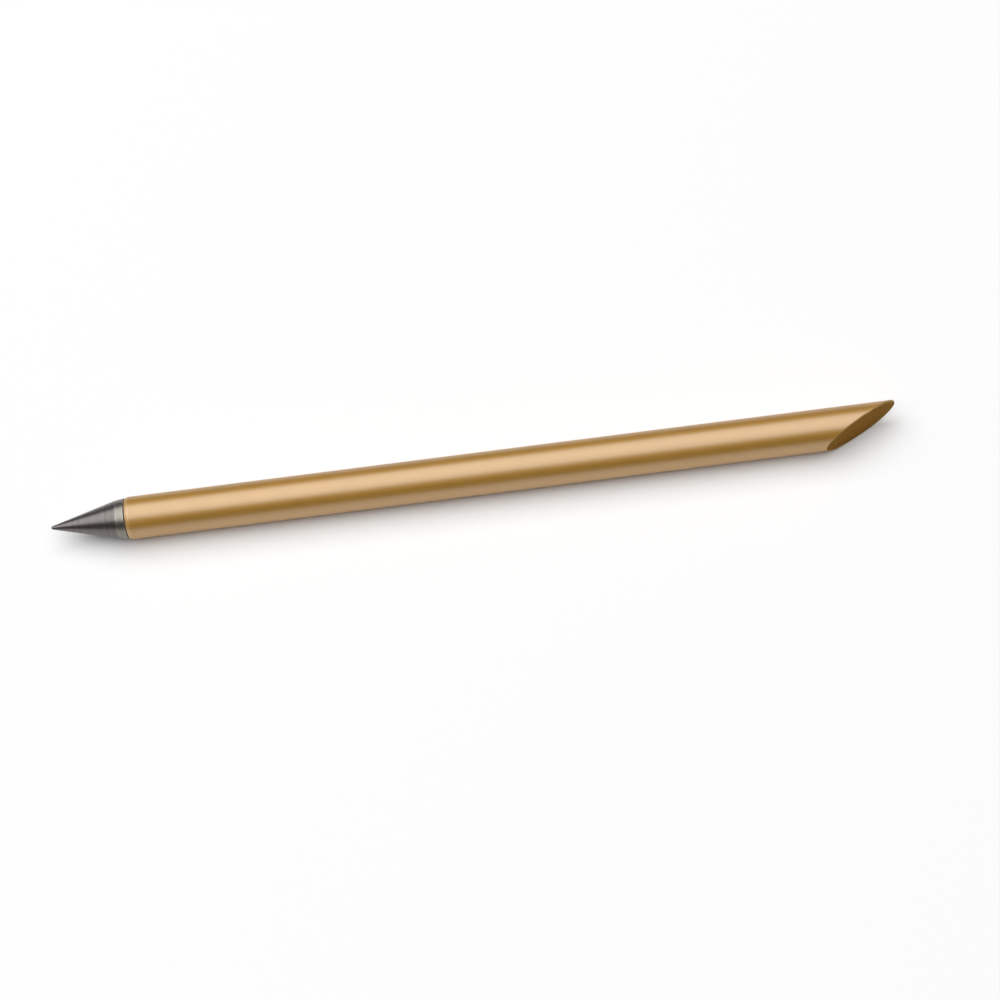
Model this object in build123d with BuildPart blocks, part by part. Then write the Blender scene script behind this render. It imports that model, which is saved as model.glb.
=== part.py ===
from build123d import *
import os
from math import asin, atan2, ceil, cos, degrees, hypot, radians, sin, tan

# Inkless metal pencil: a slim tube with a slanted tail and a screw-in metal point.
# It lies along X with the point at -X and the long point of the tail at +X, on Z = 0.

# Barrel tube
barrel_diameter = 8.5
barrel_length = 154.7  # front rim to the rounded long point of the tail
barrel_wall = 1.0
front_chamfer_length = 0.6
front_chamfer_depth = 0.2
tail_cut_angle = 28.0  # between the slanted tail face and the axis
tail_edge_radius = 0.3

# Tail plug
plug_grip_length = 8.0  # in front of the short side of the slanted face
plug_chamfer = 0.4

# Threaded bush
bush_length = 9.0
bush_wall = 0.69  # roots of the thread to the outside
bush_mouth_depth = 0.5
glue_groove_count = 3
glue_groove_width = 0.7
glue_groove_depth = 0.25

# Washer
washer_thickness = 0.2
washer_rim_inset = 0.15

# Tip holder
collar_length = 1.7
collar_taper = 0.2
neck_length = 1.2
stud_length = 6.8  # collar's back face to the end of the stud
stud_chamfer = 0.4
spigot_diameter = 3.2
spigot_length = 4.5
spigot_chamfer = 0.3

# Writing tip
cone_length = 13.4
point_radius = 0.36
socket_spare_depth = 0.3
drill_point_angle = 118.0

# Screw thread, cut as on a standard metric screw
thread_pitch = 0.8
thread_flank_angle = 30.0
thread_crest_share = 1 / 8  # of the sharp thread's height, cut off its crests
thread_root_share = 1 / 4  # of the sharp thread's height, left in its roots

# Clearances
bond_gap = 0.02  # glue film or light press around a bonded piece
thread_clearance = 0.08
washer_clearance = 0.1
mouth_clearance = 0.1
neck_clearance = 0.05
thread_cutter_overlap = 0.04

# Places along and around the axis
overall_length = cone_length + collar_length + washer_thickness + barrel_length
point_x = -overall_length / 2
cone_back_x = point_x + cone_length
collar_back_x = cone_back_x + collar_length
barrel_front_x = collar_back_x + washer_thickness
barrel_tail_x = overall_length / 2
barrel_radius = barrel_diameter / 2
axis_height = barrel_radius
bore_radius = barrel_radius - barrel_wall
rim_radius = barrel_radius - front_chamfer_depth
collar_front_radius = rim_radius - collar_taper
insert_radius = bore_radius - bond_gap

# Thread radii: the bush's wall leaves room for a 5 mm thread in this bore
flank_slope = tan(radians(thread_flank_angle))
sharp_thread_height = thread_pitch / 2 / flank_slope
bush_root_radius = insert_radius - bush_wall
bush_mouth_radius = bush_root_radius + mouth_clearance
thread_radius = bush_root_radius - thread_clearance / 2
thread_pitch_radius = thread_radius - (1 / 2 - thread_crest_share) * sharp_thread_height
bush_crest_radius = thread_pitch_radius - (1 / 2 - thread_root_share) * sharp_thread_height
stud_crest_radius = thread_radius - thread_clearance
stud_root_radius = bush_crest_radius - thread_clearance
neck_radius = stud_root_radius - neck_clearance
stud_end_x = collar_back_x + stud_length

# Thread starts: the bush groove lies half a pitch from the stud groove, so the ridges mesh
stud_thread_x = collar_back_x + neck_length - thread_pitch / 2
bush_lead_turns = ceil(neck_length / thread_pitch) + 1
bush_thread_x = stud_thread_x + thread_pitch / 2 - bush_lead_turns * thread_pitch

# Lengthwise plane: local x runs along the pencil, local y is the distance from its axis
axis_plane = Plane(origin=(0, 0, axis_height), x_dir=(1, 0, 0), z_dir=(0, -1, 0))
pencil_axis = Axis((0, 0, axis_height), (1, 0, 0))

# Slanted tail plane: it stands upright, with the long point on the +Y side
tail_slant = radians(tail_cut_angle)
tail_sharp_x = barrel_tail_x + tail_edge_radius / tan(tail_slant / 2) - tail_edge_radius
tail_short_x = tail_sharp_x - barrel_diameter / tan(tail_slant)
tail_plane = Plane(
    origin=(tail_sharp_x, barrel_radius, axis_height),
    z_dir=(sin(tail_slant), -cos(tail_slant), 0),
)


def groove_section(root_radius, open_radius):
    """Corners of a thread groove, as (distance from the pitch line, place along the axis)."""
    middle_half = thread_pitch / 4 + thread_clearance / 2
    root = root_radius - thread_pitch_radius
    opening = open_radius - thread_pitch_radius
    root_half = middle_half - abs(root) * flank_slope
    open_half = middle_half + abs(opening) * flank_slope
    return [(root, -root_half), (opening, -open_half), (opening, open_half), (root, root_half)]


def thread_turns(start_x, end_x, points):
    """One-turn helical ridges that cut a right-hand thread groove from start_x past end_x."""
    with BuildPart() as ridge:
        with BuildLine() as path:
            Helix(
                pitch=thread_pitch,
                height=thread_pitch,
                radius=thread_pitch_radius,
                center=(start_x, 0, axis_height),
                direction=(1, 0, 0),
            )
        start = path.line @ 0
        outward = start - Vector(start_x, 0, axis_height)
        with BuildSketch(Plane(origin=start, x_dir=outward, z_dir=path.line % 0)):
            with BuildLine():
                Polyline(*points, close=True)
            make_face()
        sweep(path=path.line, is_frenet=True)
    turn_count = ceil((end_x - start_x) / thread_pitch) + 1
    return [ridge.part.moved(Location((thread_pitch * turn, 0, 0))) for turn in range(turn_count)]


os.makedirs("parts", exist_ok=True)

# Barrel: a tube with a chamfered front rim, cut off at a slant
with BuildPart() as barrel:
    with BuildSketch(axis_plane):
        with BuildLine():
            Polyline(
                (barrel_front_x, bore_radius),
                (barrel_front_x, rim_radius),
                (barrel_front_x + front_chamfer_length, barrel_radius),
                (tail_sharp_x, barrel_radius),
                (tail_sharp_x, bore_radius),
                close=True,
            )
        make_face()
    revolve(axis=pencil_axis)
    split(bisect_by=tail_plane, keep=Keep.BOTTOM)
    tail_face = barrel.faces().filter_by(tail_plane).sort_by(Axis.X)[-1]
    fillet(tail_face.outer_wire().edges(), radius=tail_edge_radius)
barrel.part.label = "barrel"
export_step(barrel.part, "parts/barrel.step")

# Tail plug: a solid rod in the tail of the bore, flush with the slanted end
with BuildPart() as tail_plug:
    with BuildSketch(axis_plane):
        with BuildLine():
            Polyline(
                (tail_short_x - plug_grip_length, 0),
                (tail_short_x - plug_grip_length, insert_radius - plug_chamfer),
                (tail_short_x - plug_grip_length + plug_chamfer, insert_radius),
                (tail_sharp_x, insert_radius),
                (tail_sharp_x, 0),
                close=True,
            )
        make_face()
    revolve(axis=pencil_axis)
    split(bisect_by=tail_plane, keep=Keep.BOTTOM)
tail_plug.part.label = "tail_plug"
export_step(tail_plug.part, "parts/tail_plug.step")

# Threaded bush: glue grooves outside, thread inside, flush with the barrel's front rim
with BuildPart() as threaded_bush:
    with BuildSketch(axis_plane):
        with BuildLine():
            Polyline(
                (barrel_front_x, bush_mouth_radius),
                (barrel_front_x, insert_radius),
                (barrel_front_x + bush_length, insert_radius),
                (barrel_front_x + bush_length, bush_crest_radius),
                (barrel_front_x + bush_mouth_depth, bush_crest_radius),
                close=True,
            )
        make_face()
        groove_spacing = bush_length / (glue_groove_count + 1)
        groove_places = [
            (barrel_front_x + groove_spacing * (index + 1), insert_radius)
            for index in range(glue_groove_count)
        ]
        with Locations(*groove_places):
            Rectangle(glue_groove_width, 2 * glue_groove_depth, mode=Mode.SUBTRACT)
    revolve(axis=pencil_axis)
    bush_groove = groove_section(bush_root_radius, bush_crest_radius - thread_cutter_overlap)
    add(thread_turns(bush_thread_x, barrel_front_x + bush_length, bush_groove), mode=Mode.SUBTRACT)
threaded_bush.part.label = "threaded_bush"
export_step(threaded_bush.part, "parts/threaded_bush.step")

# Washer between the collar and the barrel's front rim
with BuildPart() as tip_washer:
    with BuildSketch(axis_plane):
        washer_bore_radius = stud_crest_radius + washer_clearance
        washer_radius = rim_radius - washer_rim_inset
        with BuildLine():
            Polyline(
                (collar_back_x, washer_bore_radius),
                (collar_back_x, washer_radius),
                (barrel_front_x, washer_radius),
                (barrel_front_x, washer_bore_radius),
                close=True,
            )
        make_face()
    revolve(axis=pencil_axis)
tip_washer.part.label = "tip_washer"
export_step(tip_washer.part, "parts/tip_washer.step")

# Tip holder: spigot in front, tapered collar, relieved neck and threaded stud behind
with BuildPart() as tip_holder:
    with BuildSketch(axis_plane):
        spigot_radius = spigot_diameter / 2
        spigot_end_x = cone_back_x - spigot_length
        with BuildLine():
            Polyline(
                (spigot_end_x, 0),
                (spigot_end_x, spigot_radius - spigot_chamfer),
                (spigot_end_x + spigot_chamfer, spigot_radius),
                (cone_back_x, spigot_radius),
                (cone_back_x, collar_front_radius),
                (collar_back_x, rim_radius),
                (collar_back_x, neck_radius),
                (collar_back_x + neck_length, neck_radius),
                (collar_back_x + neck_length, stud_crest_radius),
                (stud_end_x - stud_chamfer, stud_crest_radius),
                (stud_end_x, stud_crest_radius - stud_chamfer),
                (stud_end_x, 0),
                close=True,
            )
        make_face()
    revolve(axis=pencil_axis)
    stud_groove = groove_section(stud_root_radius, stud_crest_radius + thread_cutter_overlap)
    add(thread_turns(stud_thread_x, stud_end_x, stud_groove), mode=Mode.SUBTRACT)
tip_holder.part.label = "tip_holder"
export_step(tip_holder.part, "parts/tip_holder.step")

# Writing tip: a solid alloy cone with a rounded point and a blind socket for the spigot
with BuildPart() as writing_tip:
    with BuildSketch(axis_plane):
        nose_centre_x = point_x + point_radius
        nose_to_base = cone_back_x - nose_centre_x
        nose_tangent = asin(point_radius / hypot(nose_to_base, collar_front_radius))
        cone_slope = atan2(collar_front_radius, nose_to_base) - nose_tangent
        socket_radius = spigot_radius + bond_gap
        socket_end_x = spigot_end_x - socket_spare_depth
        socket_apex_x = socket_end_x - socket_radius / tan(radians(drill_point_angle / 2))
        with BuildLine():
            nose = CenterArc((nose_centre_x, 0), point_radius, 180, degrees(cone_slope) - 90)
            Polyline(
                nose @ 1,
                (cone_back_x, collar_front_radius),
                (cone_back_x, socket_radius),
                (socket_end_x, socket_radius),
                (socket_apex_x, 0),
                nose @ 0,
            )
        make_face()
    revolve(axis=pencil_axis)
writing_tip.part.label = "writing_tip"
export_step(writing_tip.part, "parts/writing_tip.step")
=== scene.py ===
import bpy
import math
import numpy as np
from mathutils import Matrix, Vector


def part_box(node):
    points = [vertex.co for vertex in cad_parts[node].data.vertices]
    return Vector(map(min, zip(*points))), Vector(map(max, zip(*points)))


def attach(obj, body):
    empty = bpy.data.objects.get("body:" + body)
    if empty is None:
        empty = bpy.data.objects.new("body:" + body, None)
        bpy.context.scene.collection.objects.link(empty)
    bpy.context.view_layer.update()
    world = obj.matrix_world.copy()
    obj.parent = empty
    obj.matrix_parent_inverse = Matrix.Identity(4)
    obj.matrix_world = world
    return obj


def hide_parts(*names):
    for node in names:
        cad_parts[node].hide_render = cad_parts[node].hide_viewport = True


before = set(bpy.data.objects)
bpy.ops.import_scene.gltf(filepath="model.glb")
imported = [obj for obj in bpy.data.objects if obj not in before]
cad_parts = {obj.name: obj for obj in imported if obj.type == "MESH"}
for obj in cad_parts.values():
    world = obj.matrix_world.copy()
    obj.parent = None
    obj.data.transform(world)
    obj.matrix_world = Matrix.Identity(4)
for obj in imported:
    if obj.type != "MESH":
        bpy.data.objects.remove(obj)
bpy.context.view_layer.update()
mm = 0.001

# the pencil lies along X, and its axis is the barrel's own centre line
barrelLow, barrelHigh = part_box("barrel")
tipLow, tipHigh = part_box("writing_tip")
holderLow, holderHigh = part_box("tip_holder")
washerLow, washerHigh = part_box("tip_washer")
bushLow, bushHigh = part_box("threaded_bush")
plugLow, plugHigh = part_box("tail_plug")
axisY = 0.0
axisZ = (barrelLow.z + barrelHigh.z) / 2
barrelRadius = barrelHigh.z - axisZ
rimRadius = holderHigh.z - axisZ  # back edge of the collar, which meets the barrel's front rim
coneRadius = tipHigh.z - axisZ  # base of the cone, which meets the collar's front edge
print("frame loaded with", len(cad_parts), "nodes, barrel radius", round(barrelRadius / mm, 3), "mm")


# mesh helpers

def unitTowards(start, end):
    # the step from start to end, divided by its length
    return (end - start) / np.linalg.norm(end - start)


def roundProfile(corners, arcSteps=6):
    # each corner (x, r, rounding) becomes an arc that is tangent to both of its sides, with a point past
    # each end that holds the shading; gives x, r and an edge mask that is 1 on the arcs
    holdShare, holdExtra = 0.3, 0.02 * mm  # such a point's reach: a share of the setback and this more
    places = np.array([corner[:2] for corner in corners], float)
    lines, masks = [], []
    for i, (_, _, rounding) in enumerate(corners):
        if rounding == 0:
            lines.append(places[i:i + 1])
            masks.append(np.zeros(1))
            continue
        before = unitTowards(places[i], places[i - 1])
        after = unitTowards(places[i], places[(i + 1) % len(places)])
        half = math.acos(np.clip(before @ after, -1, 1)) / 2  # half of the corner's angle
        setback = rounding / math.tan(half)
        bisector = (before + after) / np.linalg.norm(before + after)
        centre = places[i] + bisector * rounding / math.sin(half)
        first = places[i] + before * setback - centre
        last = places[i] + after * setback - centre
        sweep = math.pi - 2 * half
        t = np.linspace(0, 1, arcSteps + 1)[:, None]
        arc = (np.sin((1 - t) * sweep) * first + np.sin(t * sweep) * last) / math.sin(sweep) + centre
        hold = min(rounding * sweep / 2, holdShare * setback + holdExtra)
        lines.append(np.vstack([arc[:1] + before * hold, arc, arc[-1:] + after * hold]))
        masks.append(np.concatenate([[0], np.ones(arcSteps + 1), [0]]))
    x, r = np.vstack(lines).T
    return x, r, np.concatenate(masks)


def refineProfile(x, r, edge, step):
    # extra points at every step along the profile, where no point is near already
    nearShare = 0.4  # of a step
    s = np.concatenate([[0], np.cumsum(np.hypot(np.diff(x), np.diff(r)))])
    extra = np.arange(step, s[-1], step)
    extra = extra[np.abs(extra[:, None] - s[None, :]).min(1) > nearShare * step]
    u = np.sort(np.concatenate([s, extra]))
    return np.interp(u, s, x), np.interp(u, s, r), np.interp(u, s, edge)


def around(count):
    # angles about the axis, from +Y towards +Z
    return np.arange(count) * 2 * math.pi / count


def revolve(x, r, angles):
    # x and r, one for each row or one for each row and angle, carried round the axis
    x, r = (np.reshape(v, (len(v), -1)) for v in (x, r))
    x, r, a = np.broadcast_arrays(x, r, angles[None, :])
    return np.stack([x, axisY + r * np.cos(a), axisZ + r * np.sin(a)], axis=2)


def between(first, last, share):
    # straight mix of two rows, where a share of 0 gives the first and 1 the last
    return (1 - share) * first + share * last


def stackBands(bands):
    # bands of rows, each with its edge mask (wear and painted highlight) and its mask for the cut face's
    # painted shade (a number or one for each row), as one grid
    grid = np.vstack([rows for rows, _, _ in bands])
    edge = np.concatenate([np.broadcast_to(mask, len(rows)) for rows, mask, _ in bands])
    cut = np.concatenate([np.broadcast_to(mask, len(rows)) for rows, _, mask in bands])
    return grid, {"edge": edge, "cutFacePaintedShade": cut}


def gridPiece(name, grid, wrapRows, masks):
    # grid of rows, columns and coordinates, closed round the axis; its rows wrap too, or end in two poles;
    # a mask has one value for each row
    rows, cols = grid.shape[:2]
    if wrapRows:
        verts = grid.reshape(-1, 3)
        index = np.arange(rows * cols).reshape(rows, cols)
        index = np.vstack([index, index[:1]])
        fans = np.zeros((0, 3), int)
    else:
        inner = grid[1:-1].reshape(-1, 3)
        verts = np.vstack([grid[0, :1], inner, grid[-1, :1]])
        index = np.arange(1, len(inner) + 1).reshape(rows - 2, cols)
        firstPole, lastPole = np.zeros(cols, int), np.full(cols, len(verts) - 1)
        fans = np.vstack([np.stack([firstPole, np.roll(index[0], -1), index[0]], axis=1),
                          np.stack([lastPole, index[-1], np.roll(index[-1], -1)], axis=1)])
    nextCol = np.roll(index, -1, axis=1)
    quads = np.stack([index[:-1], nextCol[:-1], nextCol[1:], index[1:]], axis=2).reshape(-1, 4)
    a, b, c = (verts[quads[:, corner]] for corner in range(3))
    outward = np.einsum("ij,ij->i", a - verts.mean(0), np.cross(b - a, c - a)).sum()
    if outward < 0:
        quads, fans = quads[:, ::-1], fans[:, ::-1]
    mesh = bpy.data.meshes.new(name)
    mesh.from_pydata(verts.tolist(), [], quads.tolist() + fans.tolist())
    mesh.polygons.foreach_set("use_smooth", np.ones(len(mesh.polygons), bool))
    for maskName, mask in masks.items():
        values = np.repeat(mask, cols)
        if not wrapRows:
            values = values[cols - 1:1 - cols]  # a pole is one point
        layer = mesh.attributes.new(maskName, "FLOAT", "POINT")
        layer.data.foreach_set("value", values.astype(np.float32))
    mesh.validate()
    mesh.update()
    piece = bpy.data.objects.new(name, mesh)
    bpy.context.scene.collection.objects.link(piece)
    return piece


def dress(piece, body, cadNode, material):
    # a finished piece gets its material and its body, and the node that it stands for is hidden
    piece.data.materials.append(material)
    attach(piece, body)
    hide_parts(cadNode)
    print("made", piece.name, "with", len(piece.data.polygons), "faces")


# shader helpers

def node(tree, kind, **values):
    # new node, with each value on the input or the property of that name
    made = tree.nodes.new(kind)
    for key, value in values.items():
        if key in made.inputs:
            made.inputs[key].default_value = value
        else:
            setattr(made, key, value)
    return made


def mathNode(tree, operation, first, second):
    # each of the two values is a number or a socket
    made = node(tree, "ShaderNodeMath", operation=operation)
    for socket, value in zip(made.inputs, (first, second)):
        if isinstance(value, (int, float)):
            socket.default_value = value
        else:
            tree.links.new(value, socket)
    return made.outputs[0]


def noise(tree, place, scale, detail, roughness):
    # noise whose scale is a socket
    made = node(tree, "ShaderNodeTexNoise", Detail=detail, Roughness=roughness)
    tree.links.new(place, made.inputs["Vector"])
    tree.links.new(scale, made.inputs["Scale"])
    return made.outputs["Fac"]


def spread(tree, value, low, high, fromLow=0.3, fromHigh=0.7):
    # straight map of a value's range, as a rule a noise's, to low and high
    made = tree.nodes.new("ShaderNodeMapRange")
    tree.links.new(value, made.inputs["Value"])
    ends = {"From Min": fromLow, "From Max": fromHigh, "To Min": low, "To Max": high}
    for label, number in ends.items():
        made.inputs[label].default_value = number
    return made.outputs["Result"]


def mixColours(tree, factor, first, second):
    # each of the two colours is a triple or a socket
    made = node(tree, "ShaderNodeMix", data_type="RGBA")
    tree.links.new(factor, made.inputs["Factor"])
    sockets = [s for s in made.inputs if s.type == "RGBA"]
    for socket, value in zip(sockets, (first, second)):
        if isinstance(value, tuple):
            socket.default_value = (*value, 1.0)
        else:
            tree.links.new(value, socket)
    return [s for s in made.outputs if s.type == "RGBA"][0]


def addBump(tree, surface, height, distance, strength):
    bump = node(tree, "ShaderNodeBump", Distance=distance, Strength=strength)
    tree.links.new(height, bump.inputs["Height"])
    tree.links.new(bump.outputs["Normal"], surface.inputs["Normal"])


def effectGroup(name, inputs, outputs):
    # empty group with number sockets, and a Vector input for the object coordinates
    tree = bpy.data.node_groups.new(name, "ShaderNodeTree")
    tree.interface.new_socket("Vector", in_out="INPUT", socket_type="NodeSocketVector")
    for label, value in inputs.items():
        socket = tree.interface.new_socket(label, in_out="INPUT", socket_type="NodeSocketFloat")
        socket.default_value = value
    for label in outputs:
        tree.interface.new_socket(label, in_out="OUTPUT", socket_type="NodeSocketFloat")
    return tree, tree.nodes.new("NodeGroupInput").outputs, tree.nodes.new("NodeGroupOutput").inputs


def useGroup(tree, group, place, values):
    made = tree.nodes.new("ShaderNodeGroup")
    made.node_tree = group
    tree.links.new(place, made.inputs["Vector"])
    for label, value in values.items():
        made.inputs[label].default_value = value
    return made.outputs


def newMaterial(name):
    material = bpy.data.materials.new(name)
    material.use_nodes = True
    tree = material.node_tree
    tree.nodes.clear()
    surface = tree.nodes.new("ShaderNodeBsdfPrincipled")
    output = tree.nodes.new("ShaderNodeOutputMaterial")
    tree.links.new(surface.outputs["BSDF"], output.inputs["Surface"])
    return material, tree, surface


def objectPlace(tree):
    return tree.nodes.new("ShaderNodeTexCoord").outputs["Object"]


# effects that the finishes share

def blastGroup():
    # fine even pits of bead blasting, and a slow noise that varies the finish in patches
    patchShare = 0.025  # of the grain's scale
    tree, source, sink = effectGroup("blastedGrain", {"Grain per metre": 9000.0}, ["Height", "Patch"])
    place, scale = source["Vector"], source["Grain per metre"]
    patchScale = mathNode(tree, "MULTIPLY", scale, patchShare)
    tree.links.new(noise(tree, place, scale, detail=3.0, roughness=0.6), sink["Height"])
    tree.links.new(noise(tree, place, patchScale, detail=4.0, roughness=0.55), sink["Patch"])
    return tree


def ringGroup():
    # tool marks of turning: noise that is drawn out round the axis, and broader streaks of the same kind
    drawnOut = 0.004  # what is left of the change across the axis
    streakShare = 0.18  # of the rings' scale
    tree, source, sink = effectGroup("turnedRings", {"Rings per metre": 9000.0}, ["Height", "Streak"])
    parts = tree.nodes.new("ShaderNodeSeparateXYZ")
    tree.links.new(source["Vector"], parts.inputs[0])
    along = tree.nodes.new("ShaderNodeCombineXYZ")
    tree.links.new(parts.outputs["X"], along.inputs["X"])
    for axis in ("Y", "Z"):
        tree.links.new(mathNode(tree, "MULTIPLY", parts.outputs[axis], drawnOut), along.inputs[axis])
    place, scale = along.outputs[0], source["Rings per metre"]
    streakScale = mathNode(tree, "MULTIPLY", scale, streakShare)
    tree.links.new(noise(tree, place, scale, detail=4.0, roughness=0.7), sink["Height"])
    tree.links.new(noise(tree, place, streakScale, detail=2.0, roughness=0.5), sink["Streak"])
    return tree


def wearAndSheenGroup():
    # paler edges, partly wear and partly painted highlight: the mesh's own edge mask, broken up by a noise
    tree, source, sink = effectGroup("edgeWearAndSheen", {"Amount": 0.5, "Patch per metre": 700.0}, ["Mask"])
    edge = node(tree, "ShaderNodeAttribute", attribute_name="edge").outputs["Fac"]
    patch = noise(tree, source["Vector"], source["Patch per metre"], detail=3.0, roughness=0.6)
    patch = spread(tree, patch, 0.0, 1.0, fromLow=0.35, fromHigh=0.65)
    wornAndSheen = mathNode(tree, "MULTIPLY", edge, patch)
    tree.links.new(mathNode(tree, "MULTIPLY", wornAndSheen, source["Amount"]), sink["Mask"])
    return tree


blastedGrain = blastGroup()
turnedRings = ringGroup()
edgeWearAndSheen = wearAndSheenGroup()
print("effects ready")

# gold anodised aluminium of the barrel and the plug: broad satin gold under a clear sealed layer
gold = {
    "light": (0.556, 0.296, 0.004),
    "deep": (0.510, 0.267, 0.003),
    # pale edge colour: wear, and a painted highlight on the chamfer and the slanted edge
    "wornAndSheen": (0.80, 0.58, 0.30),
    # painted shade: the slanted cut is coloured a dark bronze, well below the gold
    "cutFacePaintedShade": (0.28, 0.146, 0.022),
    "roughness": (0.68, 0.76),
    "edgeTint": (0.70, 0.42, 0.12),
    "coatRoughness": 0.38,
    "coatIor": 2.25,
    "cutShadeCoat": 0.08,  # the cut's clear coat, kept low with its painted shade so that it reflects less
    "grainPerMetre": 9000.0,
    "grainDepth": 0.008 * mm,
    "grainStrength": 0.6,
    "edgeWearAndSheen": 0.35,
}


def goldMaterial():
    material, tree, surface = newMaterial("goldAnodised")
    place = objectPlace(tree)
    grain = useGroup(tree, blastedGrain, place, {"Grain per metre": gold["grainPerMetre"]})
    wearAndSheen = useGroup(tree, edgeWearAndSheen, place, {"Amount": gold["edgeWearAndSheen"]})
    # painted shade on the cut face: its own darker colour and a thinner coat
    cut = node(tree, "ShaderNodeAttribute", attribute_name="cutFacePaintedShade").outputs["Fac"]
    body = mixColours(tree, spread(tree, grain["Patch"], 0.0, 1.0), gold["deep"], gold["light"])
    body = mixColours(tree, cut, body, gold["cutFacePaintedShade"])
    body = mixColours(tree, wearAndSheen["Mask"], body, gold["wornAndSheen"])
    tree.links.new(body, surface.inputs["Base Color"])
    tree.links.new(spread(tree, grain["Patch"], *gold["roughness"]), surface.inputs["Roughness"])
    coat = spread(tree, cut, 1.0, gold["cutShadeCoat"], fromLow=0.0, fromHigh=1.0)
    tree.links.new(coat, surface.inputs["Coat Weight"])
    surface.inputs["Metallic"].default_value = 1.0
    surface.inputs["Specular Tint"].default_value = (*gold["edgeTint"], 1.0)
    surface.inputs["Coat Roughness"].default_value = gold["coatRoughness"]
    surface.inputs["Coat IOR"].default_value = gold["coatIor"]
    addBump(tree, surface, grain["Height"], gold["grainDepth"], gold["grainStrength"])
    return material


# turned metals: the dark soft alloy of the point, the collar's steel and the bush's brass
alloy = {
    "name": "turnedAlloy",
    "dark": (0.141, 0.129, 0.123),
    "light": (0.193, 0.177, 0.171),
    "wornAndSheen": (0.32, 0.30, 0.29),
    "roughness": (0.31, 0.42),
    "ringsPerMetre": 11000.0,
    "ringDepth": 0.005 * mm,
    "ringStrength": 0.7,
    "edgeWearAndSheen": 0.5,
}
steel = {
    "name": "turnedSteel",
    "dark": (0.200, 0.186, 0.160),
    "light": (0.292, 0.273, 0.245),
    # pale edge colour: wear, and the painted highlight bands at the collar's edges
    "wornAndSheen": (0.58, 0.55, 0.51),
    "roughness": (0.32, 0.42),
    "ringsPerMetre": 14000.0,
    "ringDepth": 0.005 * mm,
    "ringStrength": 0.7,
    "edgeWearAndSheen": 0.6,
}
brass = {
    "name": "turnedBrass",
    "dark": (0.55, 0.36, 0.12),
    "light": (0.76, 0.54, 0.21),
    "wornAndSheen": (0.86, 0.68, 0.36),
    "roughness": (0.24, 0.36),
    "ringsPerMetre": 12000.0,
    "ringDepth": 0.005 * mm,
    "ringStrength": 0.7,
    "edgeWearAndSheen": 0.6,
}


def turnedMaterial(metal):
    material, tree, surface = newMaterial(metal["name"])
    place = objectPlace(tree)
    rings = useGroup(tree, turnedRings, place, {"Rings per metre": metal["ringsPerMetre"]})
    wearAndSheen = useGroup(tree, edgeWearAndSheen, place, {"Amount": metal["edgeWearAndSheen"]})
    body = mixColours(tree, spread(tree, rings["Streak"], 0.0, 1.0), metal["dark"], metal["light"])
    body = mixColours(tree, wearAndSheen["Mask"], body, metal["wornAndSheen"])
    tree.links.new(body, surface.inputs["Base Color"])
    tree.links.new(spread(tree, rings["Height"], *metal["roughness"]), surface.inputs["Roughness"])
    surface.inputs["Metallic"].default_value = 1.0
    addBump(tree, surface, rings["Height"], metal["ringDepth"], metal["ringStrength"])
    return material


# matt black rubber of the washer
rubber = {
    "dark": (0.030, 0.029, 0.028),
    "light": (0.060, 0.058, 0.055),
    "roughness": (0.6, 0.8),
    "grainPerMetre": 14000.0,
    "grainDepth": 0.01 * mm,
    "grainStrength": 0.5,
}


def rubberMaterial():
    material, tree, surface = newMaterial("mattRubber")
    grain = useGroup(tree, blastedGrain, objectPlace(tree), {"Grain per metre": rubber["grainPerMetre"]})
    body = mixColours(tree, spread(tree, grain["Height"], 0.0, 1.0), rubber["dark"], rubber["light"])
    tree.links.new(body, surface.inputs["Base Color"])
    tree.links.new(spread(tree, grain["Patch"], *rubber["roughness"]), surface.inputs["Roughness"])
    addBump(tree, surface, grain["Height"], rubber["grainDepth"], rubber["grainStrength"])
    return material


goldFinish = goldMaterial()
alloyFinish = turnedMaterial(alloy)
steelFinish = turnedMaterial(steel)
brassFinish = turnedMaterial(brass)
rubberFinish = rubberMaterial()
print("finishes ready")

# slanted tail plane, upright, with the long point of the tail on the +Y side
tail = {
    "cutAngle": math.radians(28.0),  # to the axis
    "outerEdge": 0.3 * mm,
    "seamEdge": 0.015 * mm,  # where the tube and the plug meet
}
cutSlope = 1 / math.tan(tail["cutAngle"])
cutNormal = np.array([math.sin(tail["cutAngle"]), -math.cos(tail["cutAngle"]), 0.0])
# x of the long point before its edge is rounded
sharpX = barrelHigh.x + tail["outerEdge"] / math.tan(tail["cutAngle"] / 2) - tail["outerEdge"]


def cutX(r, angles, inset=0.0):
    # x where the line along the axis at radius r and each angle meets the tail plane, moved in by inset
    return sharpX - (barrelRadius - r * np.cos(angles)) * cutSlope - inset / math.sin(tail["cutAngle"])


def cutEdge(r, side, ball, angles, steps):
    # rounded edge between a wall of radius r and the tail plane: a ball rolls along both, and at each
    # place its surface swings from the wall's normal (side 1 outwards, -1 inwards) to the plane's normal
    centreR = r - side * ball
    centre = revolve(cutX(centreR, angles, ball)[None, :], np.full((1, len(angles)), centreR), angles)
    wall = np.stack([0 * angles, side * np.cos(angles), side * np.sin(angles)], axis=1)[None]
    swing = np.arccos(np.clip(wall @ cutNormal, -1, 1))[..., None]
    t = np.linspace(0, 1, steps + 1)[:, None, None]
    turned = (np.sin((1 - t) * swing) * wall + np.sin(t * swing) * cutNormal) / np.sin(swing)
    return centre + ball * turned


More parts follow.
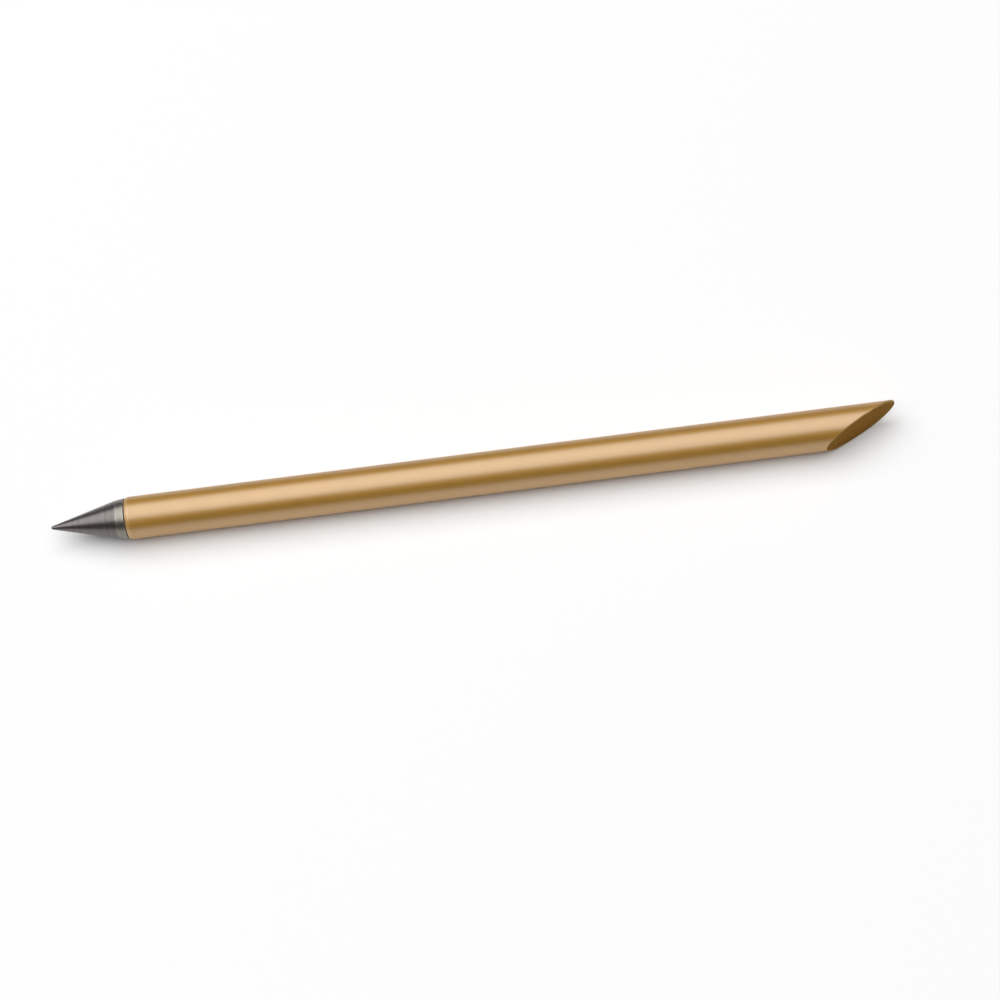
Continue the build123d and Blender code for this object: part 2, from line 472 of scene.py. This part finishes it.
# barrel: one closed surface, round the front rim, back along the wall, over the cut and up the bore
barrel = {
    "boreRadius": 3.25 * mm,
    "chamferLength": 0.6 * mm,
    "boreRounding": 0.06 * mm,
    "rimRounding": 0.06 * mm,
    "shoulderRounding": 1.2 * mm,
    # painted highlight on the chamfer, as a share of the pale edge colour
    "chamferPaintedHighlight": 0.5,
    "frontInside": 3 * mm,  # how far the front's rows reach along the bore
    "frontOutside": 2 * mm,  # and along the wall
    "sides": 128,
    "wallRows": 60,
    "boreRowStep": 4,  # the bore has one row for so many of the wall's
    "edgeRows": 8,
    "edgeHold": 0.015,  # place of the row that holds the slanted edge, towards the row before
    "faceHold": 0.06,  # places of the two rows on the cut, from either side
}


def makeBarrel():
    angles = around(barrel["sides"])
    frontX, boreR = barrelLow.x, barrel["boreRadius"]
    x, r, edge = roundProfile([
        (frontX + barrel["frontInside"], boreR, 0),
        (frontX, boreR, barrel["boreRounding"]),
        (frontX, rimRadius, barrel["rimRounding"]),
        (frontX + barrel["chamferLength"], barrelRadius, barrel["shoulderRounding"]),
        (frontX + barrel["frontOutside"], barrelRadius, 0),
    ])
    # painted highlight: the chamfer is a little paler than the wall, most of all at its two ends
    onChamfer = (x < frontX + barrel["chamferLength"]) & (r > rimRadius - barrel["rimRounding"])
    edge = np.where(onChamfer, np.maximum(edge, barrel["chamferPaintedHighlight"]), edge)
    front = revolve(x, r, angles)
    wallEdge = cutEdge(barrelRadius, 1, tail["outerEdge"], angles, barrel["edgeRows"])
    boreEdge = cutEdge(boreR, -1, tail["seamEdge"], angles, barrel["edgeRows"])[::-1]
    # wall rows run from the rim to the slanted edge, each leaning a little more
    share = np.linspace(0, 1, barrel["wallRows"] + 1)[1:-1, None, None]
    wall = between(front[-1], wallEdge[0], share)
    hold = between(wallEdge[:1], wall[-1:], barrel["edgeHold"])
    faceNear = between(wallEdge[-1:], boreEdge[:1], barrel["faceHold"])
    faceFar = between(boreEdge[:1], wallEdge[-1:], barrel["faceHold"])
    inside = between(boreEdge[-1], front[0], share[::barrel["boreRowStep"]])
    slantEdgeWearAndSheen = np.sin(np.linspace(0, math.pi, len(wallEdge)))  # half a sine, palest in its middle: wear and a painted highlight
    # the cut face's painted shade fades in across the rounded slanted edge
    edgeCutShade = np.linspace(0, 1, len(wallEdge))
    grid, masks = stackBands([
        (front, edge, 0), (wall, 0, 0), (hold, 0, 0), (wallEdge, slantEdgeWearAndSheen, edgeCutShade),
        (faceNear, 0, 1), (faceFar, 0, 1), (boreEdge, 0, 1), (inside, 0, 0),
    ])
    dress(gridPiece("barrelTube", grid, True, masks), "barrel", "barrel", goldFinish)


# tail plug: a rod with a chamfered inner end, cut on the same slant as the tube
plug = {
    "radius": plugHigh.z - axisZ,
    "chamfer": 0.4 * mm,
    "rounding": 0.05 * mm,
    "frontLength": 2 * mm,
    "sides": 128,
    "wallRows": 6,
    "edgeRows": 6,
    "edgeHold": 0.02,
    "faceRings": (0.04, 0.35, 0.7, 1.0),  # from the edge to the middle of the slanted face
}


def makePlug():
    angles = around(plug["sides"])
    startX = plugLow.x
    x, r, edge = roundProfile([
        (startX, 0, 0),
        (startX, plug["radius"] - plug["chamfer"], plug["rounding"]),
        (startX + plug["chamfer"], plug["radius"], plug["rounding"]),
        (startX + plug["frontLength"], plug["radius"], 0),
    ])
    front = revolve(x, r, angles)
    slant = cutEdge(plug["radius"], 1, tail["seamEdge"], angles, plug["edgeRows"])
    wall = between(front[-1], slant[0], np.linspace(0, 1, plug["wallRows"] + 1)[1:-1, None, None])
    hold = between(slant[:1], wall[-1:], plug["edgeHold"])
    centre = np.array([cutX(0.0, np.zeros(1))[0], axisY, axisZ])
    face = between(slant[-1], centre, np.array(plug["faceRings"])[:, None, None])
    grid, masks = stackBands([(front, edge, 0), (wall, 0, 0), (hold, 0, 0), (slant, 0, 1), (face, 0, 1)])
    dress(gridPiece("tailPlugRod", grid, False, masks), "barrel", "tail_plug", goldFinish)


# screw thread of 5 mm with a pitch of 0.8 mm, on the stud and in the bush
thread = {
    "pitch": 0.8 * mm,
    "studCrest": 2.42 * mm,
    "studRoot": 1.987 * mm,
    "bushRoot": 2.54 * mm,
    "bushCrest": 2.067 * mm,
    "middle": 2.2402 * mm,
    "clearance": 0.08 * mm,
    "flankRise": math.sqrt(3),  # radius gained for each length along the axis, on 30 degree flanks
    "firstGroove": 0.8 * mm,  # from the collar's back face to the middle of the stud's first groove
    "rowsPerTurn": 24,
}


def flankHeight(x, angles, phase):
    # height over the pitch line: the distance along the axis from the nearest groove's middle on the helix,
    # less half of the groove's width there, times the flank's rise
    startX = washerLow.x + thread["firstGroove"]
    turn = (x[:, None] - startX) / thread["pitch"] - angles[None, :] / (2 * math.pi) + phase
    apart = np.abs(turn - np.round(turn)) * thread["pitch"]
    half = thread["pitch"] / 4 + thread["clearance"] / 2
    return (apart - half) * thread["flankRise"]


def studRadius(x, angles):
    # the flanks rise outwards from the groove, cut off at root and crest
    return np.clip(thread["middle"] + flankHeight(x, angles, 0.0), thread["studRoot"], thread["studCrest"])


def bushRadius(x, angles):
    # the bush's groove lies half a pitch away, and its flanks rise inwards
    return np.clip(thread["middle"] - flankHeight(x, angles, 0.5), thread["bushCrest"], thread["bushRoot"])


def threadRows(length):
    # number of rows along a stretch of thread, with both of its ends
    return int(round(length / thread["pitch"] * thread["rowsPerTurn"])) + 1


# threaded bush: front face, glue grooves, back face and the thread with its open mouth
bush = {
    "radius": bushHigh.z - axisZ,
    "mouthRadius": 2.64 * mm,
    "mouthDepth": 0.5 * mm,
    "mouthLead": (0.2 * mm, 0.23 * mm),  # a place on the mouth's cone, in from its edge and down
    "mouthRounding": 0.04 * mm,
    "grooves": 3,
    "grooveWidth": 0.7 * mm,
    "grooveDepth": 0.25 * mm,
    "grooveRounding": 0.04 * mm,
    "endRounding": 0.06 * mm,
    "backInset": 0.1 * mm,  # from the thread's root to the last row on the back face
    "arcSteps": 3,
    "sides": 96,
}


def makeBush():
    angles = around(bush["sides"])
    frontX, backX = bushLow.x, bushHigh.x
    outer, mouthR = bush["radius"], bush["mouthRadius"]
    leadIn, leadDown = bush["mouthLead"]
    corners = [(frontX + leadIn, mouthR - leadDown, 0), (frontX, mouthR, bush["mouthRounding"]),
               (frontX, outer, bush["endRounding"])]
    for number in range(bush["grooves"]):
        middle = frontX + (backX - frontX) / (bush["grooves"] + 1) * (number + 1)
        near, far = middle - bush["grooveWidth"] / 2, middle + bush["grooveWidth"] / 2
        deep = outer - bush["grooveDepth"]
        groove = [(near, outer), (near, deep), (far, deep), (far, outer)]
        corners += [(*corner, bush["grooveRounding"]) for corner in groove]
    corners += [(backX, outer, bush["endRounding"]), (backX, thread["bushRoot"] + bush["backInset"], 0)]
    x, r, edge = roundProfile(corners, bush["arcSteps"])
    outside = revolve(x[1:], r[1:], angles)  # the lead only aims the mouth's rounding
    insideX = np.linspace(backX, frontX, threadRows(backX - frontX))[:-1]
    mouth = mouthR - (insideX - frontX) * (mouthR - thread["bushCrest"]) / bush["mouthDepth"]
    inside = revolve(insideX, np.maximum(bushRadius(insideX, angles), mouth[:, None]), angles)
    edgeMask = np.concatenate([edge[1:], np.zeros(len(inside))])
    piece = gridPiece("bushInsert", np.vstack([outside, inside]), True, {"edge": edgeMask})
    dress(piece, "barrel", "threaded_bush", brassFinish)


# washer: flat rubber ring, whose outer wall bulges a little where it is squeezed
washer = {
    "boreRadius": 2.52 * mm,
    "radius": washerHigh.z - axisZ,
    "rounding": 0.03 * mm,
    "bulge": 0.08 * mm,
    "step": 0.02 * mm,
    "arcSteps": 5,
    "sides": 128,
}


def makeWasher():
    nearX, farX = washerLow.x, washerHigh.x
    ring = [(nearX, washer["boreRadius"]), (nearX, washer["radius"]),
            (farX, washer["radius"]), (farX, washer["boreRadius"])]
    x, r, edge = roundProfile([(*corner, washer["rounding"]) for corner in ring], washer["arcSteps"])
    x, r, _ = refineProfile(x, r, edge, washer["step"])
    across = (2 * x - nearX - farX) / (farX - nearX)
    onRim = r > washer["radius"] - 2 * washer["rounding"]
    r = r + np.where(onRim, washer["bulge"] * (1 - across ** 2), 0)  # parabola across the rim
    piece = gridPiece("washerRing", revolve(x, r, around(washer["sides"])), True, {})
    dress(piece, "washer", "tip_washer", rubberFinish)


# uneven turning marks: waves along the axis, each with its pitch ratio, height and phase
markWaves = [(1.0, 1.0, 0.0), (1.618, 0.7, 1.3), (3.7, 0.5, 0.4)]


def toolMarks(x, pitch, depth):
    # sum of the waves, whose pitches don't divide each other, over the sum of their heights
    total = np.zeros(len(x))
    for ratio, height, phase in markWaves:
        total += height * np.sin(2 * math.pi * x / (ratio * pitch) + phase)
    return depth * total / sum(height for _, height, _ in markWaves)


# tip holder: spigot, tapered collar with turning marks, relieved neck and threaded stud
holder = {
    "spigotRadius": 1.6 * mm,
    "spigotChamfer": 0.3 * mm,
    "spigotRounding": 0.05 * mm,
    "spigotRoot": 0.1 * mm,
    "edgeBreak": 0.04 * mm,
    "paintedSheenBand": 0.12 * mm,  # width of the painted highlight band at either edge of the collar
    "neckRadius": 1.937 * mm,
    "neckLength": 1.2 * mm,
    "neckRoot": 0.15 * mm,
    "studChamfer": 0.4 * mm,
    "endRing": 1.5 * mm,  # radius of the row on the stud's end face
    "markPitch": 0.16 * mm,
    "markDepth": 0.0012 * mm,
    "markInset": 0.1 * mm,  # from either edge of the collar to the first mark
    "step": 0.03 * mm,
    "sides": 96,
}


def makeHolder():
    angles = around(holder["sides"])
    startX, endX = holderLow.x, holderHigh.x
    collarX, backX = tipHigh.x, washerLow.x
    neckX = backX + holder["neckLength"]
    spigotR, chamfer = holder["spigotRadius"], holder["spigotChamfer"]
    x, r, edge = roundProfile([
        (startX, 0, 0),
        (startX, spigotR - chamfer, holder["spigotRounding"]),
        (startX + chamfer, spigotR, holder["spigotRounding"]),
        (collarX, spigotR, holder["spigotRoot"]),
        (collarX, coneRadius, holder["edgeBreak"]),
        (backX, rimRadius, holder["edgeBreak"]),
        (backX, holder["neckRadius"], holder["neckRoot"]),
        (neckX, holder["neckRadius"], 0),
    ])
    x, r, edge = refineProfile(x, r, edge, holder["step"])
    # painted highlight: the collar is paler in a narrow band at both of its edges
    fromEdge = np.minimum(np.abs(x - collarX), np.abs(backX - x))
    paintedSheenBand = np.where(r > coneRadius - holder["edgeBreak"], np.exp(-(fromEdge / holder["paintedSheenBand"]) ** 2), 0)
    edge = np.maximum(edge, paintedSheenBand)
    marked = (x > collarX + holder["markInset"]) & (x < backX - holder["markInset"]) & (r > coneRadius)
    r = r + np.where(marked, toolMarks(x, holder["markPitch"], holder["markDepth"]), 0)
    front = revolve(x, r, angles)
    studX = np.linspace(neckX, endX, threadRows(endX - neckX))
    lead = thread["studCrest"] - holder["studChamfer"] + (endX - studX)
    stud = revolve(studX, np.minimum(studRadius(studX, angles), lead[:, None]), angles)
    end = revolve([endX, endX], [holder["endRing"], 0.0], angles)
    edgeMask = np.concatenate([edge, np.zeros(len(stud) + len(end))])
    piece = gridPiece("tipHolderBody", np.vstack([front, stud, end]), False, {"edge": edgeMask})
    dress(piece, "tip", "tip_holder", steelFinish)


# writing point: alloy cone with a rounded nose, turning marks and a blind drilled socket
point = {
    "noseRadius": 0.36 * mm,
    "noseRows": 12,
    "noseWear": (1.0, 0.3),  # from the tip of the nose to the cone
    "baseEdge": 0.05 * mm,
    "socketRadius": 1.62 * mm,
    "socketDepth": 4.8 * mm,
    "socketRounding": 0.08 * mm,
    "drillAngle": math.radians(59.0),  # of the socket's pointed end, to the axis
    "markPitch": 0.21 * mm,
    "markDepth": 0.0016 * mm,
    "markFadeIn": 2 * mm,  # the marks grow over this length behind the nose
    "markFadeOut": 0.2 * mm,  # and end over this one
    "markInset": 0.12 * mm,  # at this distance from the base
    "step": 0.035 * mm,
    "sides": 128,
}


def makePoint():
    noseX, baseX = tipLow.x, tipHigh.x
    nose, socketR = point["noseRadius"], point["socketRadius"]
    # the cone is the line from its base that touches the nose's ball
    reach = baseX - noseX - nose
    slope = math.atan2(coneRadius, reach) - math.asin(nose / math.hypot(reach, coneRadius))
    a = np.linspace(0, math.pi / 2 - slope, point["noseRows"])
    noseLineX, noseLineR = noseX + nose - nose * np.cos(a), nose * np.sin(a)
    socketEnd = baseX - point["socketDepth"]
    x, r, edge = roundProfile([
        (noseLineX[-1], noseLineR[-1], 0),
        (baseX, coneRadius, point["baseEdge"]),
        (baseX, socketR, point["socketRounding"]),
        (socketEnd, socketR, point["socketRounding"]),
        (socketEnd - socketR / math.tan(point["drillAngle"]), 0, 0),
    ])
    x = np.concatenate([noseLineX[:-1], x])
    r = np.concatenate([noseLineR[:-1], r])
    edge = np.concatenate([np.linspace(*point["noseWear"], point["noseRows"] - 1), edge])
    x, r, edge = refineProfile(x, r, edge, point["step"])
    fadeIn = np.clip((x - noseX) / point["markFadeIn"], 0, 1)
    fadeOut = np.clip((baseX - point["markInset"] - x) / point["markFadeOut"], 0, 1)
    onCone = np.arange(len(x)) < np.argmax(r)
    marks = fadeIn * fadeOut * toolMarks(x, point["markPitch"], point["markDepth"])
    r = r + np.where(onCone, marks, 0)
    piece = gridPiece("writingPoint", revolve(x, r, around(point["sides"])), False, {"edge": edge})
    dress(piece, "tip", "writing_tip", alloyFinish)


makeBarrel()
makePlug()
makeBush()
makeWasher()
makeHolder()
makePoint()

# pale studio floor, a large softbox over and a little behind the pencil, dim room with a paler horizon
studio = {
    "floorSize": 30.0,  # in metres, as the softbox's lengths
    "floorColour": (0.88, 0.88, 0.88),
    "floorRoughness": 0.9,
    "floorGloss": 0.1,
    "softboxLeft": -3.8,
    "softboxRight": 1.8,
    "softboxDepth": 4.86,
    "softboxDistance": 3.0,
    "softboxLean": math.radians(8.0),
    "softboxRadiance": 2.38,
    "roomLevel": 0.04,
    "horizonLevel": 0.12,
    "horizonTop": (math.radians(1.0), math.radians(8.0)),  # heights between which its light falls off
}


def makeFloor():
    half = studio["floorSize"] / 2
    corners = [(-half, -half, 0), (half, -half, 0), (half, half, 0), (-half, half, 0)]
    mesh = bpy.data.meshes.new("floor")
    mesh.from_pydata(corners, [], [(0, 1, 2, 3)])
    floor = bpy.data.objects.new("floor", mesh)
    bpy.context.scene.collection.objects.link(floor)
    material, _, surface = newMaterial("paleFloor")
    surface.inputs["Base Color"].default_value = (*studio["floorColour"], 1.0)
    surface.inputs["Roughness"].default_value = studio["floorRoughness"]
    surface.inputs["Specular IOR Level"].default_value = studio["floorGloss"]
    mesh.materials.append(material)


def makeSoftbox():
    lamp = bpy.data.lights.new("softbox", "AREA")
    lamp.shape = "RECTANGLE"
    lamp.size = studio["softboxRight"] - studio["softboxLeft"]
    lamp.size_y = studio["softboxDepth"]
    lamp.energy = studio["softboxRadiance"] * math.pi * lamp.size * lamp.size_y  # power of a flat lamp
    softbox = bpy.data.objects.new("softbox", lamp)
    lean, distance = studio["softboxLean"], studio["softboxDistance"]
    middle = (studio["softboxLeft"] + studio["softboxRight"]) / 2
    softbox.location = (middle, distance * math.sin(lean), distance * math.cos(lean))
    softbox.rotation_euler = (-lean, 0, 0)
    bpy.context.scene.collection.objects.link(softbox)


def makeRoom():
    # the room's light falls smoothly from the horizon's level to a dim one above it
    world = bpy.data.worlds.new("room")
    world.use_nodes = True
    tree = world.node_tree
    direction = tree.nodes.new("ShaderNodeTexCoord").outputs["Generated"]
    parts = tree.nodes.new("ShaderNodeSeparateXYZ")
    tree.links.new(direction, parts.inputs[0])
    low, high = (math.sin(angle) for angle in studio["horizonTop"])
    level = spread(tree, parts.outputs["Z"], studio["horizonLevel"], studio["roomLevel"], low, high)
    level.node.interpolation_type = "SMOOTHSTEP"
    background = tree.nodes["Background"]
    background.inputs["Color"].default_value = (1.0, 1.0, 1.0, 1.0)
    tree.links.new(level, background.inputs["Strength"])
    bpy.context.scene.world = world


# camera at the photograph's viewing angle, with the pencil's axis parallel to the picture
shot = {
    "lens": 80.0,
    "sensor": 36.0,
    "clip": (0.01, 100.0),
    "elevation": math.radians(64.5),
    "roll": math.radians(7.25),
    "distance": 442.6 * mm,
    "aimX": 4.33 * mm,
    "aimDrop": 5.73 * mm,  # how far the aim lies below the axis in the picture
}


def makeCamera():
    back = Vector((0, -math.cos(shot["elevation"]), math.sin(shot["elevation"])))
    level = Vector((0, math.sin(shot["elevation"]), math.cos(shot["elevation"])))
    side = Vector((1, 0, 0))
    right = math.cos(shot["roll"]) * side - math.sin(shot["roll"]) * level
    up = math.sin(shot["roll"]) * side + math.cos(shot["roll"]) * level
    data = bpy.data.cameras.new("photoView")
    data.lens = shot["lens"]
    data.sensor_width = shot["sensor"]
    data.clip_start, data.clip_end = shot["clip"]
    camera = bpy.data.objects.new("photoView", data)
    aim = Vector((shot["aimX"], axisY, axisZ)) - shot["aimDrop"] * level
    turn = Matrix((right, up, back)).transposed().to_4x4()
    camera.matrix_world = Matrix.Translation(aim + shot["distance"] * back) @ turn
    bpy.context.scene.collection.objects.link(camera)
    bpy.context.scene.camera = camera


makeFloor()
makeSoftbox()
makeRoom()
makeCamera()
bpy.context.scene.view_settings.view_transform = "Standard"
print("studio ready")
